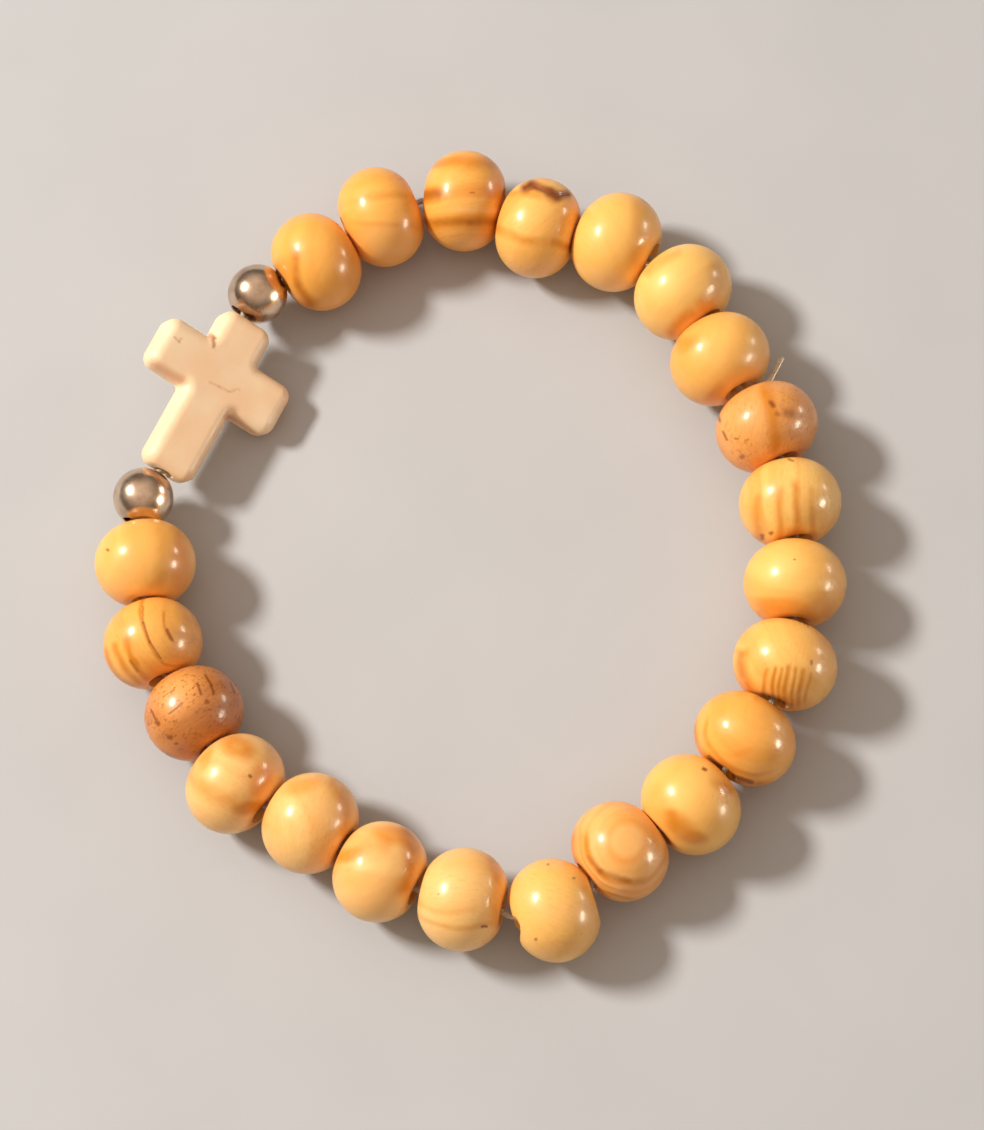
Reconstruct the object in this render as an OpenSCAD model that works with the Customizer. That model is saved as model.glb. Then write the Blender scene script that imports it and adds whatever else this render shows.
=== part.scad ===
// Stretch bracelet of turned wooden beads with a small stone cross between two metal balls.
// It lies on a flat surface as a closed loop. Millimetres, +Z up, seen from above with the cross at the left.

/* [Wooden beads] */
// Diameter of a plain bead
bead_d = 10; // [9.8:0.1:10.6]
// Length of a plain bead along the string
bead_l = 7.8; // [7.6:0.1:8]
// Radius of the flat end face
face_r = 1.9; // [1.8:0.1:2]
// Radius of the rounded rim between the end face and the barrel
rim_r = 1.6; // [1.4:0.1:1.7]
// Diameter of the bore
bore_d = 2.2; // [1.8:0.1:2.4]
// Diameter of the countersink at each end of the bore
sink_d = 3.2; // [2.6:0.1:3.4]
// Depth of the countersink
sink_deep = 0.6; // [0.4:0.1:0.8]

/* [Metal balls] */
// Diameter of each ball
ball_d = 6; // [5.5:0.1:6.2]
// Diameter of the bore through a ball
ball_bore = 2.2; // [2:0.1:2.4]

/* [Cross] */
// Length of the cross along the string
cross_l = 17.8; // [17:0.1:18.2]
// Span of the two side arms
cross_w = 14.8; // [14:0.1:15]
// Width of every arm
arm_w = 5.6; // [5:0.1:5.8]
// Thickness of the stone
stone_t = 4; // [3.6:0.1:4.4]
// Distance from the top end to the middle of the side arms
arm_at = 6.6; // [6:0.1:7]
// Radius of the rounded edges
edge_r = 1.3; // [0.8:0.1:1.5]
// Diameter of the bore along the cross
cross_bore = 2; // [1.8:0.1:2.2]

/* [Elastic cord] */
// Diameter of the cord
cord_d = 0.6; // [0.5:0.1:0.8]
// Diameter of the knot
knot_d = 1.8; // [1.6:0.1:1.9]
// Length of the knot along the cord
knot_l = 1.5; // [1.2:0.1:1.6]
// Length of the cut tail that runs out between the two beads
tail_out = 2.4; // [2.2:0.1:3]
// Length of the tail beyond its bend
tail_end = 2.2; // [1:0.1:3]

/* [Hidden] */
$fn = 64;

// Columns of the table of pieces. reach is the distance from the middle of the loop, across the diameter,
// long the length along the string and room the free space to the next piece, measured along the string.
REACH = 0;
ACROSS = 1;
LONG = 2;
ROOM = 3;

// The pieces clockwise from the upper ball: ball, wooden beads 1 to 22, ball, cross
PIECES = [
    // reach, across, long, room
    [34.6, ball_d, ball_d, -0.1],
    [34.2, bead_d + 0.2, bead_l - 0.1, 0.4],
    [36.4, bead_d + 0.3, bead_l - 0.2, 0.9],
    [36.8, bead_d + 0.3, bead_l + 0.1, 0.3],
    [34.3, bead_d + 0.2, bead_l - 0.1, 0.3],
    [35.1, bead_d + 0.2, bead_l + 0.1, 0.8],
    [33.8, bead_d + 0.3, bead_l, 0.3],
    [31.3, bead_d + 0.2, bead_l, 0.9],
    [31.6, bead_d + 0.3, bead_l - 0.2, 0.5],
    [31.7, bead_d + 0.1, bead_l, 0.5],
    [32.1, bead_d, bead_l, 0.5],
    [33.2, bead_d + 0.2, bead_l, 0.6],
    [33.4, bead_d + 0.1, bead_l - 0.2, 0.5],
    [34.1, bead_d, bead_l + 0.2, 0.2],
    [34.3, bead_d - 0.1, bead_l, 0.6],
    [37.6, bead_d - 0.1, bead_l, 0.9],
    [35.5, bead_d - 0.1, bead_l, 0.6],
    [33.7, bead_d - 0.2, bead_l, 0.4],
    [31.6, bead_d - 0.1, bead_l + 0.2, 0.4],
    [32.6, bead_d + 0.2, bead_l, 0.5],
    [31.3, bead_d - 0.2, bead_l + 0.1, 0.5],
    [32.2, bead_d - 0.2, bead_l, 0.5],
    [31.8, bead_d, bead_l, 0],
    [32.7, ball_d, ball_d, 0.2],
    [30.9, cross_w, cross_l, 0.2]
];
COUNT = len(PIECES);
// Number of wooden beads, which have places 1 to this in the table, and the places of the other pieces
WOODEN = 22;
UPPER_BALL = 0;
LOWER_BALL = WOODEN + 1;
CROSS = WOODEN + 2;
// Direction of the upper ball from the middle of the loop, degrees
FIRST_AT = 128;
// Height of the cord above the surface
STRING_Z = 5;
// How far a cutter runs out past each face that it opens
PAST = 1;

// Steps of the rounded rim and of the barrel curve in a bead's section
RIM_STEPS = 6;
BARREL_STEPS = 12;

// A split along the grain of one bead: its turn from the top towards the outside of the loop in degrees,
// its place along the bead from the middle, its length, its width and the depth of its middle line
CRACKED = 4;
CRACK_TURN = 30;
CRACK_ON = 0.6;
CRACK_L = 4.2;
CRACK_W = 0.6;
CRACK_DEEP = 0.1;
// A scallop broken out of one bead's end face: its radius, its depth and its distance from the bore
CHIPPED = 15;
CHIP_R = 1.6;
CHIP_DEEP = 0.4;
CHIP_ASIDE = 0.9;

// The bead before the knot
KNOT_AFTER = 7;
// Radius of the tail's bend and its turn in degrees, a 3-4-5 triangle's, so that the straight end meets the
// bend exactly
BEND_R = 1.2;
TAIL_BEND = acos(0.8);
CORD_SIDES = 8;
// The cord bends in each gap, and again this far inside each bore, where it is drawn this part of the way
// towards the gap's side
INSET = 0.7;
DRAWN = 0.4;

function piece(i) = PIECES[(i + COUNT) % COUNT];
function total(list, n) = n <= 0 ? 0 : list[n - 1] + total(list, n - 1);
// Distance between the middles of one piece and the next
function pitch(i) = (piece(i)[LONG] + piece(i + 1)[LONG]) / 2 + piece(i)[ROOM];
// Angle that this distance takes up, seen from the middle of the loop: law of cosines
function share(i) =
    let (a = piece(i)[REACH], b = piece(i + 1)[REACH], c = pitch(i))
    acos((a * a + b * b - c * c) / (2 * a * b));
SHARES = [for (i = [0:COUNT - 1]) share(i)];
// The loop opens or closes a little, so that the pieces go round exactly once
SWELL = total(SHARES, COUNT) / 360;
AZIMUTH = [for (i = [0:COUNT - 1]) FIRST_AT - total(SHARES, i) / SWELL];
PLAN = [for (i = [0:COUNT - 1]) SWELL * piece(i)[REACH] * [cos(AZIMUTH[i]), sin(AZIMUTH[i])]];
function plan(i) = PLAN[(i + COUNT) % COUNT];

// Each piece points from the piece before it to the piece after it, a ball from the one's end to the other's
function heading(i) =
    let (
        is_ball = piece(i)[ACROSS] == ball_d,
        d = is_ball ? end_of(i + 1, -1) - end_of(i - 1, 1) : plan(i + 1) - plan(i - 1)
    )
    atan2(d.y, d.x);
function along(i) = [cos(heading(i)), sin(heading(i))];
// The end of a piece that comes first, for -1, or last, for 1
function end_of(i, side) = plan(i) + side * piece(i)[LONG] / 2 * along(i);

// The barrel curve of a bead's section: its radius, its centre's distance from the bead's axis, and the
// direction in which it meets the rounded rim
function curve_r(across, long) =
    let (side = across / 2 - face_r, rim_y = long / 2 - rim_r)
    (side * side + rim_y * rim_y - rim_r * rim_r) / (2 * (side - rim_r));
function curve_x(across, long) = across / 2 - curve_r(across, long);
function flare(across, long) = atan2(long / 2 - rim_r, face_r - curve_x(across, long));
// Half the width of a bead along a direction that makes the given angle with its axis
function half_width(i, angle) =
    let (across = piece(i)[ACROSS], long = piece(i)[LONG], c = abs(cos(angle)), s = abs(sin(angle)))
    atan2(c, s) < flare(across, long)
        ? s * curve_x(across, long) + curve_r(across, long)
        : s * face_r + c * (long / 2 - rim_r) + rim_r;
LOW = [
    min([for (i = [1:WOODEN]) plan(i).x - half_width(i, heading(i))]),
    min([for (i = [1:WOODEN]) plan(i).y - half_width(i, heading(i) - 90)])
];
HIGH = [
    max([for (i = [1:WOODEN]) plan(i).x + half_width(i, heading(i))]),
    max([for (i = [1:WOODEN]) plan(i).y + half_width(i, heading(i) - 90)])
];
// Middle of each piece, with the middle of the whole bracelet's outline at the origin
MIDDLE = (LOW + HIGH) / 2;
function place(i) = plan(i) - MIDDLE;
// Where the cord passes from one piece to the next
function joint(i) = (end_of(i, 1) + end_of(i + 1, -1)) / 2 - MIDDLE;

// The cross hangs turned on the cord, as far as its inner side arm comes down on the surface
ARM_REACH = cross_w / 2 - edge_r;
STONE_REACH = stone_t / 2 - edge_r;
CROSS_ROLL = asin((STRING_Z - edge_r) / norm([ARM_REACH, STONE_REACH])) - atan2(STONE_REACH, ARM_REACH);

// The knot lies between two beads, its ends in their countersinks
KNOT_AT = joint(KNOT_AFTER);
KNOT_HEADING = (heading(KNOT_AFTER) + heading(KNOT_AFTER + 1)) / 2;
KNOT_ALONG = [cos(KNOT_HEADING), sin(KNOT_HEADING)];
KNOT_FROM = KNOT_AT - knot_l / 2 * KNOT_ALONG;
KNOT_TO = KNOT_AT + knot_l / 2 * KNOT_ALONG;

// The part of the way from a piece's middle to a point that lies across its axis
function aside(i, at) =
    let (way = at - place(i))
    way - (way * along(i)) * along(i);
// The cord's two bends inside a piece's bore
function bored(i) =
    let (reach = (piece(i)[LONG] / 2 - INSET) * along(i))
    [place(i) - reach + DRAWN * aside(i, joint(i - 1)), place(i) + reach + DRAWN * aside(i, joint(i))];
// The cord's way from the knot round the loop and back to it
ROUTE = concat(
    [KNOT_TO],
    bored(KNOT_AFTER + 1),
    [for (i = [KNOT_AFTER + 2:KNOT_AFTER + COUNT]) each concat([joint(i - 1)], bored(i))],
    [KNOT_FROM]
);

// Direction of the cord at a point of its route: along the knot at both ends
function run(k) =
    let (last = len(ROUTE) - 1)
    k == 0 || k == last ? KNOT_ALONG : (ROUTE[k + 1] - ROUTE[k - 1]) / norm(ROUTE[k + 1] - ROUTE[k - 1]);
function ring(k) =
    let (t = run(k), p = ROUTE[k])
    [for (a = [0:360 / CORD_SIDES:359])
        [p.x - t.y * cos(a) * cord_d / 2, p.y + t.x * cos(a) * cord_d / 2, STRING_Z + sin(a) * cord_d / 2]];
function band(k) =
    [for (j = [0:CORD_SIDES - 1])
        let (a = k * CORD_SIDES, next = (j + 1) % CORD_SIDES)
        [a + j, a + next, a + CORD_SIDES + next, a + CORD_SIDES + j]];

// Stands a piece that was made along Z in its place on the string, at the given height
module strung(i, height) {
    translate([place(i).x, place(i).y, height])
        rotate([0, 0, heading(i)])
            rotate([0, 90, 0])
                children();
}

// Points of an arc about a centre, up to but without its end
function arc(centre, r, from, to, steps) =
    [for (k = [0:steps - 1])
        let (a = from + (to - from) * k / steps)
        centre + r * [cos(a), sin(a)]];

// Right half of a bead's section: the bore with a countersink at each end, flat end faces, rounded rims
// and a barrel curve that meets them smoothly
module bead_section(across, long) {
    end = long / 2;
    rim_y = end - rim_r;
    flare = flare(across, long);
    polygon(concat(
        [[bore_d / 2, sink_deep - end], [sink_d / 2, -end]],
        arc([face_r, -rim_y], rim_r, -90, -flare, RIM_STEPS),
        arc([curve_x(across, long), 0], curve_r(across, long), -flare, flare, BARREL_STEPS),
        arc([face_r, rim_y], rim_r, flare, 90, RIM_STEPS),
        [[face_r, end], [sink_d / 2, end], [bore_d / 2, end - sink_deep]]
    ));
}

module crack(across) {
    rotate([0, 0, -CRACK_TURN])
        translate([CRACK_DEEP - across / 2, 0, CRACK_ON])
            cylinder(d = CRACK_W, h = CRACK_L, center = true);
}

module chip(across, long) {
    translate([0, CHIP_ASIDE, long / 2 + CHIP_R - CHIP_DEEP])
        rotate([0, 90, 0])
            cylinder(r = CHIP_R, h = across + 2 * PAST, center = true);
}

module wood_bead(i) {
    across = piece(i)[ACROSS];
    long = piece(i)[LONG];
    color([0.87, 0.62, 0.3])
        strung(i, across / 2)
            difference() {
                rotate_extrude()
                    bead_section(across, long);
                if (i == CRACKED) crack(across);
                if (i == CHIPPED) chip(across, long);
            }
}

module metal_ball(i) {
    color([0.78, 0.74, 0.7])
        strung(i, STRING_Z)
            difference() {
                sphere(d = ball_d);
                cylinder(d = ball_bore, h = ball_d + 2 * PAST, center = true);
            }
}

// A rectangle with rounded corners, centred
module rounded(width, height) {
    square([width - 2 * edge_r, height], center = true);
    square([width, height - 2 * edge_r], center = true);
    for (x = [-1, 1], y = [-1, 1])
        translate([x * (width / 2 - edge_r), y * (height / 2 - edge_r)])
            circle(edge_r);
}

// A bar with all edges rounded, where the three rounded sections meet
module bar(long, wide, thick) {
    intersection() {
        linear_extrude(thick, center = true)
            rounded(long, wide);
        rotate([90, 0, 0])
            linear_extrude(wide, center = true)
                rounded(long, thick);
        rotate([90, 0, 90])
            linear_extrude(long, center = true)
                rounded(wide, thick);
    }
}

module stone_cross() {
    color([0.94, 0.85, 0.7])
        translate([place(CROSS).x, place(CROSS).y, STRING_Z])
            rotate([0, 0, heading(CROSS)])
                rotate([CROSS_ROLL, 0, 0])
                    difference() {
                        union() {
                            bar(cross_l, arm_w, stone_t);
                            translate([cross_l / 2 - arm_at, 0, 0])
                                bar(arm_w, cross_w, stone_t);
                        }
                        rotate([0, 90, 0])
                            cylinder(d = cross_bore, h = cross_l + 2 * PAST, center = true);
                    }
}

module elastic_cord() {
    rings = len(ROUTE);
    color([0.86, 0.83, 0.77])
        polyhedron(
            points = [for (k = [0:rings - 1]) each ring(k)],
            faces = concat(
                [[for (j = [CORD_SIDES - 1:-1:0]) j]],
                [for (k = [0:rings - 2]) each band(k)],
                [[for (j = [0:CORD_SIDES - 1]) (rings - 1) * CORD_SIDES + j]]
            )
        );
}

// The knot, and the one cut tail that shows: out between the two beads, then bent along the outside
module cord_knot() {
    color([0.86, 0.83, 0.77])
        translate([KNOT_AT.x, KNOT_AT.y, STRING_Z])
            rotate([0, 0, KNOT_HEADING]) {
                intersection() {
                    sphere(d = knot_d);
                    cube([knot_l, 2 * knot_d, 2 * knot_d], center = true);
                }
                rotate([-90, 0, 0])
                    cylinder(d = cord_d, h = tail_out);
                translate([-BEND_R, tail_out, 0]) {
                    rotate_extrude(angle = TAIL_BEND)
                        translate([BEND_R, 0])
                            circle(d = cord_d);
                    rotate([0, 0, TAIL_BEND])
                        translate([BEND_R, 0, 0])
                            rotate([-90, 0, 0])
                                cylinder(d = cord_d, h = tail_end);
                }
            }
}

for (i = [1:WOODEN])
    wood_bead(i);
metal_ball(UPPER_BALL);  // metal_ball_upper
metal_ball(LOWER_BALL);  // metal_ball_lower
stone_cross();
elastic_cord();
cord_knot();
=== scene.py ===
from math import acos, asin, atan2, cos, hypot, pi, radians, sin, tan

import bmesh
import bpy
import numpy as np
from mathutils import Matrix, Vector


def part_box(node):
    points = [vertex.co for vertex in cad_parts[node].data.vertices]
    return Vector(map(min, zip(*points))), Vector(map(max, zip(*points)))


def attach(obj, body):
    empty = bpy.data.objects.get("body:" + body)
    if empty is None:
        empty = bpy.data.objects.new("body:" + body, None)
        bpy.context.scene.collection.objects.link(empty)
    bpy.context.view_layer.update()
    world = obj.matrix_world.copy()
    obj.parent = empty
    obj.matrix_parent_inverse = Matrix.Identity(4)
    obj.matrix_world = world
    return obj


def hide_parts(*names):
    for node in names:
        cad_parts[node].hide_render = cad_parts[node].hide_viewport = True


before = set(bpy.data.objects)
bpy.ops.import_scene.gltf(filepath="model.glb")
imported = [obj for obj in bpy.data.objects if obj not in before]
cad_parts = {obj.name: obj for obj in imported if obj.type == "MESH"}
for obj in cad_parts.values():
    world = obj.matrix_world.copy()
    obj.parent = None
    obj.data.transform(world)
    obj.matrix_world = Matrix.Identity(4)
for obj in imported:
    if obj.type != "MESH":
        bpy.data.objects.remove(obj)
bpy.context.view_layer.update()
MM = 0.001

# The bracelet lies on a plain pale table top, seen from nearly above: the viewer's eye is a little towards
# the lower edge and the right. A warm key light stands at the upper left. Two low ones at the right show only
# as the small gleams that each bead has there, and leave dull surfaces unlit.
LEAN_BACK = radians(19)
LEAN_RIGHT = radians(4)
EYE_DISTANCE = 335.9 * MM
LENS = 109.7
NEAREST_SEEN = 10 * MM
# The point, about as high as the string, that lies in the middle of the picture
AIM = MM * np.array([2.39, -2.34, 5.0])


def unit(v):
    """The vector's direction, with length 1."""
    return np.asarray(v, float) / np.linalg.norm(v)


def facing(towards):
    """Right, up and forward axes for a unit vector that points at the viewer."""
    right = unit([towards[2], 0, -towards[0]])
    return right, np.cross(towards, right), towards


TO_EYE = unit([tan(LEAN_RIGHT), -tan(LEAN_BACK), 1])
EYE = AIM + EYE_DISTANCE * TO_EYE


def placed(data, name, place, towards):
    """A camera or a light at a place, with its back turned in the given direction."""
    thing = bpy.data.objects.new(name, data)
    axes = Matrix(np.array(facing(unit(towards))).T.tolist()).to_4x4()
    thing.matrix_world = Matrix.Translation(place) @ axes
    bpy.context.scene.collection.objects.link(thing)
    return thing


lens = bpy.data.cameras.new("camera")
lens.lens = LENS
lens.clip_start = NEAREST_SEEN
bpy.context.scene.camera = placed(lens, "camera", EYE, TO_EYE)


LAMP_DISTANCE = 1.0


def lamp(name, towards, wide, long, watts, colour, only_gleams=False):
    """An oval soft box that shines from the given direction at the middle of the picture. With only_gleams it
    shows in shiny surfaces and leaves dull ones unlit."""
    data = bpy.data.lights.new(name, "AREA")
    data.shape = "ELLIPSE"
    data.size = wide
    data.size_y = long
    data.energy = watts
    data.color = colour
    box = placed(data, name, AIM + LAMP_DISTANCE * unit(towards), towards)
    box.visible_diffuse = not only_gleams


lamp("key_light", (-0.67, 0.22, 0.70), 0.14, 0.26, 11.4, (1.0, 0.96, 0.90))
lamp("low_light", (0.95, -0.20, 0.14), 0.22, 0.30, 7.0, (1.0, 0.92, 0.72), only_gleams=True)
lamp("side_light", (0.92, 0.36, 0.10), 0.15, 0.22, 2.6, (1.0, 0.92, 0.76), only_gleams=True)
bpy.context.scene.view_settings.view_transform = "Standard"


class Socket:
    """An output socket of a node tree. Arithmetic on it adds Math nodes."""

    def __init__(self, tree, output):
        self.tree = tree
        self.output = output

    def node(self, kind, settings=None, inputs=None, output=0):
        """Any other node: its type, its settings, and the values or links of its sockets."""
        new = self.tree.nodes.new("ShaderNode" + kind)
        for name, value in (settings or {}).items():
            setattr(new, name, value)
        for name, value in (inputs or {}).items():
            if isinstance(value, Socket):
                self.tree.links.new(value.output, new.inputs[name])
            else:
                new.inputs[name].default_value = value
        return Socket(self.tree, new.outputs[output])

    def math(self, operation, *others):
        """A Math node on this socket and on other sockets or plain numbers."""
        return self.node("Math", {"operation": operation}, dict(enumerate([self, *others])))

    def __add__(self, other):
        return self.math("ADD", other)

    __radd__ = __add__

    def __sub__(self, other):
        return self.math("SUBTRACT", other)

    def __rsub__(self, other):
        return self * -1 + other

    def __mul__(self, other):
        return self.math("MULTIPLY", other)

    __rmul__ = __mul__

    def __truediv__(self, other):
        return self.math("DIVIDE", other)

    def __pow__(self, other):
        return self.math("POWER", other)

    def __abs__(self):
        return self.math("ABSOLUTE")

    def within(self, low, high):
        """The value, held between a low and a high one."""
        return self.math("MAXIMUM", low).math("MINIMUM", high)

    def step(self, low, high):
        """A smooth step from 0 at low to 1 at high, or from 1 down to 0 where low is the higher."""
        return self.node(
            "MapRange",
            {"interpolation_type": "SMOOTHSTEP"},
            {"Value": self, "From Min": low, "From Max": high},
        )

    def between(self, low, high):
        """The colour that lies this share of the way from one colour to another."""
        return self.node("Mix", {"data_type": "RGBA"}, {"Factor": self, 6: low, 7: high}, output=2)

    def axes(self):
        """The three coordinates of a vector."""
        split = self.node("SeparateXYZ", {}, {"Vector": self}).output.node
        return [Socket(self.tree, output) for output in split.outputs]

    def noise(self, scale, detail=2.0, roughness=0.5):
        """Soft noise over a vector field, mostly from 0.3 to 0.7."""
        inputs = {"Vector": self, "Scale": scale, "Detail": detail, "Roughness": roughness}
        return self.node("TexNoise", {}, inputs)

    def turned(self, middle, axes, size):
        """This vector field seen from a middle, along three axes and in units of the given size."""
        turn = Matrix(np.array(axes).T.tolist()).to_euler()
        return self.node(
            "Mapping",
            {"vector_type": "TEXTURE"},
            {"Vector": self, "Location": middle, "Rotation": turn, "Scale": size},
        )


def finish(name, **constants):
    """A new material with constants on its shader's sockets, its shader, and its Object coordinates."""
    material = bpy.data.materials.new(name)
    material.use_nodes = True
    tree = material.node_tree
    shader = tree.nodes["Principled BSDF"]
    for socket, value in constants.items():
        shader.inputs[socket.replace("_", " ").title().replace("Ior", "IOR")].default_value = value
    return material, shader, Socket(tree, tree.nodes.new("ShaderNodeTexCoord").outputs["Object"])


def feed(shader, **fields):
    """Links fields to the shader's sockets. A height field, in metres, goes through a Bump node to Normal."""
    for name, field in fields.items():
        if name == "height":
            field = field.node("Bump", {}, {"Height": field, "Distance": 1.0, "Strength": 1.0})
            name = "normal"
        field.tree.links.new(field.output, shader.inputs[name.replace("_", " ").title()])


# The warm room: bright overhead and dim all round
OVERHEAD = (0.79, 0.64, 0.52, 1)
WALLS = (0.17, 0.15, 0.13, 1)
# How upright a direction is where the room is all overhead, and where it is all walls
OVERHEAD_FROM = 0.95
WALLS_BELOW = 0.25
world = bpy.data.worlds.new("studio")
world.use_nodes = True
sky = Socket(world.node_tree, world.node_tree.nodes.new("ShaderNodeTexCoord").outputs["Generated"])
upright = abs(sky.axes()[2])
room = upright.step(OVERHEAD_FROM, WALLS_BELOW).between(OVERHEAD, WALLS)
feed(world.node_tree.nodes["Background"], color=room)
bpy.context.scene.world = world

TABLE_HALF = 1.5
TABLE_LIGHT = (0.49, 0.50, 0.52, 1)
TABLE_DARK = (0.44, 0.45, 0.47, 1)
TABLE_CLOUDS = 60.0
table_top, table_shader, table_place = finish("pale_table", roughness=0.75)
feed(table_shader, base_color=table_place.noise(TABLE_CLOUDS).between(TABLE_DARK, TABLE_LIGHT))
floor_mesh = bpy.data.meshes.new("floor")
corners = [(x * TABLE_HALF, y * TABLE_HALF, 0) for x, y in ((-1, -1), (1, -1), (1, 1), (-1, 1))]
floor_mesh.from_pydata(corners, [], [(0, 1, 2, 3)])
floor_mesh.materials.append(table_top)
floor = bpy.data.objects.new("floor", floor_mesh)
bpy.context.scene.collection.objects.link(floor)

# The string. A clear, milky elastic cord of 0.6 mm runs once round the loop through every piece, bends a
# little in each gap, and is tied off between the seventh and the eighth bead.
WOODEN = [f"wood_bead_{number:02d}" for number in range(1, 23)]
STRING = ["metal_ball_upper", *WOODEN, "metal_ball_lower", "stone_cross"]
CORD_R = 0.3 * MM
CORD_BEND_INSET = 0.7 * MM
CORD_DRAWN_ASIDE = 0.4
CORD_SIDES = 14
CORD_STEPS = 6
# Share of a Catmull-Rom spline's roundness in the cord's bends: at 1 it would cut 0.08 mm into two pieces
CORD_ROUNDNESS = 0.2
UP = np.array([0.0, 0.0, 1.0])


def extent(node, direction):
    """How far a node of the frame reaches along a direction: its lowest and its highest value."""
    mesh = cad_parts[node].data
    co = np.zeros(len(mesh.vertices) * 3)
    mesh.vertices.foreach_get("co", co)
    reach = co.reshape(-1, 3) @ direction
    return reach.min(), reach.max()


def box_middle(node):
    """The middle of a node's box."""
    low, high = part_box(node)
    return np.array((low + high) / 2)


def side_of(along):
    """The level direction to the left of somebody who looks along the string."""
    return np.cross(UP, along)


middle = {node: box_middle(node) for node in STRING}
along = {"stone_cross": unit(middle["metal_ball_upper"] - middle["metal_ball_lower"])}
cross_axes = [along["stone_cross"], side_of(along["stone_cross"]), UP]
middle["stone_cross"] = sum(axis * sum(extent("stone_cross", axis)) / 2 for axis in cross_axes)
for before, node, after in zip(STRING[-1:] + STRING[:-1], STRING, STRING[1:] + STRING[:1]):
    if node in WOODEN:
        step = middle[after] - middle[before]
        along[node] = unit(step * [1, 1, 0])
half_long = {node: np.ptp(extent(node, along[node])) / 2 for node in along}


def end_of(node, side):
    """The end of a piece that comes first on the string, for -1, or last, for 1."""
    return middle[node] + side * half_long[node] * along[node]


for ball, before, after in (
    ("metal_ball_upper", "stone_cross", "wood_bead_01"),
    ("metal_ball_lower", "wood_bead_22", "stone_cross"),
):
    along[ball] = unit((end_of(after, -1) - end_of(before, 1)) * [1, 1, 0])
    half_long[ball] = np.ptp(extent(ball, UP)) / 2

STRING_Z = middle["stone_cross"][2]


def gap_after(node):
    """Where the cord passes from a piece to the next one."""
    after = STRING[(STRING.index(node) + 1) % len(STRING)]
    return ((end_of(node, 1) + end_of(after, -1)) / 2 * [1, 1, 0]) + STRING_Z * UP


def bored(node):
    """The cord's two bends inside a piece's bore, each drawn a little towards the gap on its side."""
    before = STRING[STRING.index(node) - 1]
    level = middle[node] * [1, 1, 0] + STRING_Z * UP
    points = []
    for side, gap in ((-1, gap_after(before)), (1, gap_after(node))):
        way = gap - level
        aside = way - way @ along[node] * along[node]
        reach = side * (half_long[node] - CORD_BEND_INSET)
        points.append(level + reach * along[node] + CORD_DRAWN_ASIDE * aside)
    return points


def smooth_loop(points, steps, roundness):
    """Cubic stretches through a closed row of points, each leaving and reaching its ends along the chords of
    their neighbours: a Catmull-Rom spline for a roundness of 1, straight ways for 0."""
    p = np.asarray(points)
    before, after, beyond = np.roll(p, 1, 0), np.roll(p, -1, 0), np.roll(p, -2, 0)
    t = np.linspace(0, 1, steps, endpoint=False)[None, :, None]
    leave, reach = roundness * (after - before)[:, None] / 2, roundness * (beyond - p)[:, None] / 2
    a, b = p[:, None], after[:, None]
    curve = (
        a * (2 * t**3 - 3 * t**2 + 1)
        + leave * (t**3 - 2 * t**2 + t)
        + b * (3 * t**2 - 2 * t**3)
        + reach * (t**3 - t**2)
    )
    return curve.reshape(-1, 3)


def tube(path, radius, sides, side, closed):
    """Carries a circle along a path: point = path + radius * (cos a * side + sin a * top), where side is made
    square to the path and top = path's direction x side."""
    if closed:
        direction = np.roll(path, -1, 0) - np.roll(path, 1, 0)
    else:
        direction = np.gradient(path, axis=0)
    direction /= np.linalg.norm(direction, axis=1, keepdims=True)
    side = side - (side * direction).sum(1, keepdims=True) * direction
    side /= np.linalg.norm(side, axis=1, keepdims=True)
    top = np.cross(direction, side)
    a = np.linspace(0, 2 * pi, sides, endpoint=False)[None, :, None]
    return path[:, None] + radius * (np.cos(a) * side[:, None] + np.sin(a) * top[:, None])


SHARP = radians(38)
SAME_PLACE = 1e-7


def piece(name, grid, material, replaced=(), loop=True):
    """Turns a grid of points into a piece of the bracelet. Each row is a ring, and in a loop the last row
    joins the first. A row of equal points is a pole. A negative volume turns the faces to point outwards."""
    rows, columns = grid.shape[:2]
    last = rows if loop else rows - 1
    i, j = np.meshgrid(np.arange(last), np.arange(columns), indexing="ij")
    ahead, beside = (i + 1) % rows, (j + 1) % columns
    row, next_row = i * columns, ahead * columns
    quads = np.stack([row + j, row + beside, next_row + beside, next_row + j], -1).reshape(-1, 4)
    points = grid.reshape(-1, 3)
    p, q, r, s = (points[quads[:, k]] - points[0] for k in range(4))
    if (np.cross(p, q) * r + np.cross(p, r) * s).sum() < 0:
        quads = quads[:, ::-1]
    mesh = bpy.data.meshes.new(name)
    mesh.vertices.add(len(points))
    mesh.vertices.foreach_set("co", points.astype(np.float32).ravel())
    mesh.loops.add(quads.size)
    mesh.loops.foreach_set("vertex_index", quads.astype(np.int32).ravel())
    mesh.polygons.add(len(quads))
    mesh.polygons.foreach_set("loop_start", np.arange(0, quads.size, 4, dtype=np.int32))
    mesh.update(calc_edges=True)
    if not loop:
        edit = bmesh.new()
        edit.from_mesh(mesh)
        bmesh.ops.remove_doubles(edit, verts=edit.verts, dist=SAME_PLACE)
        edit.to_mesh(mesh)
        edit.free()
    mesh.validate()
    mesh.shade_smooth()
    mesh.set_sharp_from_angle(angle=SHARP)
    mesh.materials.append(material)
    thing = bpy.data.objects.new(name, mesh)
    bpy.context.scene.collection.objects.link(thing)
    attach(thing, "root")
    if replaced:
        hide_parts(*replaced)
    return thing


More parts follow.
